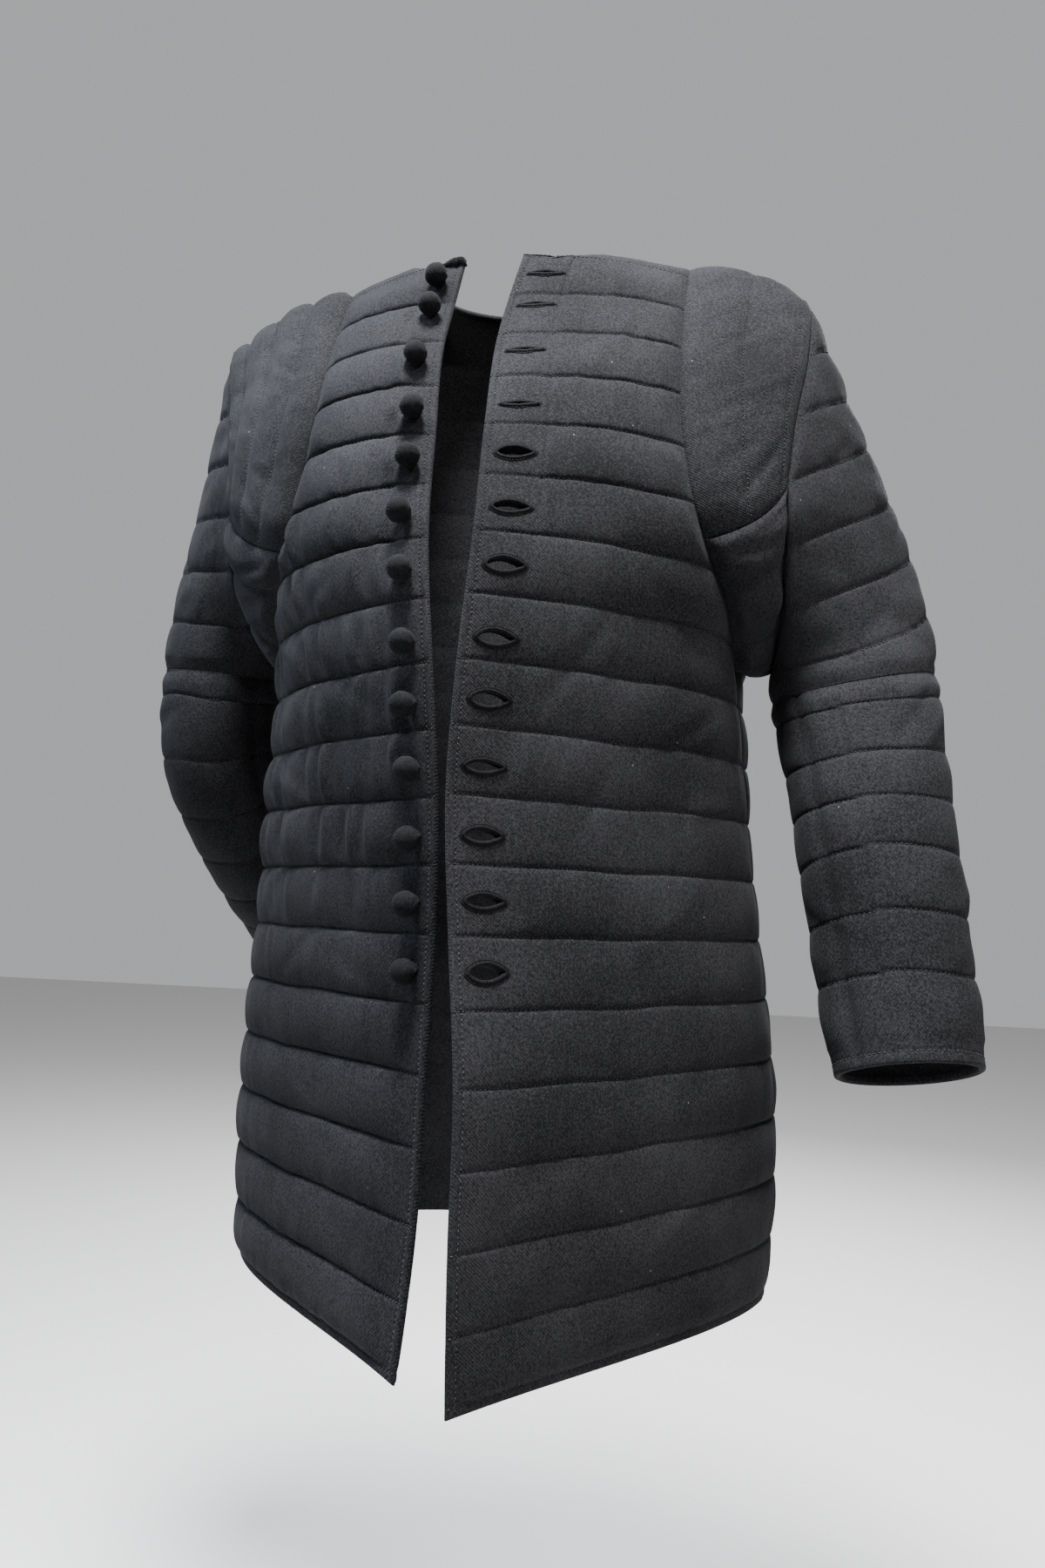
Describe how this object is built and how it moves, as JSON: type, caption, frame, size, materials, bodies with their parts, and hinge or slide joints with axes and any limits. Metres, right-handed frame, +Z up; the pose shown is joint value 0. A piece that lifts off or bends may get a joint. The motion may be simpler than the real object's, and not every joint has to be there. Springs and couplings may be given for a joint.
{
  "type": "gambeson",
  "caption": "Quilted, long-sleeved gambeson, worn open down the front: ball buttons, worked buttonholes, level channels, hollow torso and sleeves.",
  "frame": {"origin": "middle of the neck opening, level with the points where the shoulder seams meet the neck: the place where the wearer's shoulders and neck hold the garment up", "axes": "+Z up the wearer's neck; the wearer faces -Y, and the wearer's left is +X"},
  "size_m": [0.7436, 0.5085, 0.8947],
  "materials": {
    "quilted_cloth": "matt charcoal cotton, quilted in channels",
    "button_cloth": "matt charcoal cotton, gathered over a ball"
  },
  "bodies": {
    "root": {"front_left": "quilted_cloth", "front_right": "quilted_cloth", "back": "quilted_cloth", "shoulder_left": "quilted_cloth", "shoulder_right": "quilted_cloth", "underarm_left": "quilted_cloth", "underarm_right": "quilted_cloth", "upper_sleeve_left": "quilted_cloth", "upper_sleeve_right": "quilted_cloth", "lower_sleeve_left": "quilted_cloth", "lower_sleeve_right": "quilted_cloth", "button_01": "button_cloth", "button_02": "button_cloth", "button_03": "button_cloth", "button_04": "button_cloth", "button_05": "button_cloth", "button_06": "button_cloth", "button_07": "button_cloth", "button_08": "button_cloth", "button_09": "button_cloth", "button_10": "button_cloth", "button_11": "button_cloth", "button_12": "button_cloth", "button_13": "button_cloth"}
  },
  "joints": []
}
